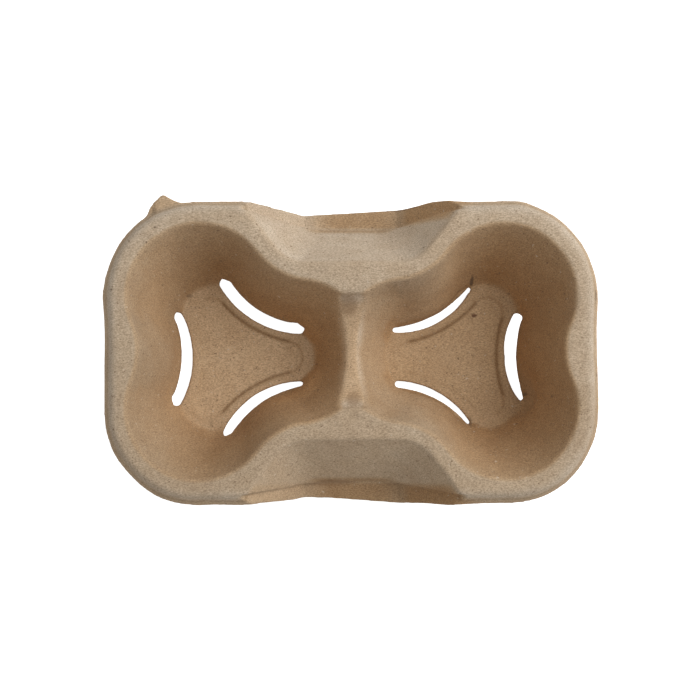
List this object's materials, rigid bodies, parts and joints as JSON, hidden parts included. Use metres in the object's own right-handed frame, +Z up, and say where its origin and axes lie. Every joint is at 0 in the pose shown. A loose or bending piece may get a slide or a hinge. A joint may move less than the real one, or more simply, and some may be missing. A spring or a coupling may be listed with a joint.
{
  "type": "cardboard cup carrier",
  "caption": "Moulded pulp tray with flexing cup pockets joined by a low ridge, slotted pocket floors, a rolled rim and grip scoops in the long sides.",
  "frame": {"origin": "centre of the tray's length and width, on the surface that it stands on", "axes": "+X along the tray from one cup pocket to the other, +Y across it towards the side with the torn corner flash, +Z up out of the pockets"},
  "size_m": [0.215, 0.1344, 0.045],
  "materials": {
    "pulp": "rough, fibrous, unprinted brown pulp"
  },
  "bodies": {
    "root": {"cup_carrier": "pulp"}
  },
  "joints": []
}
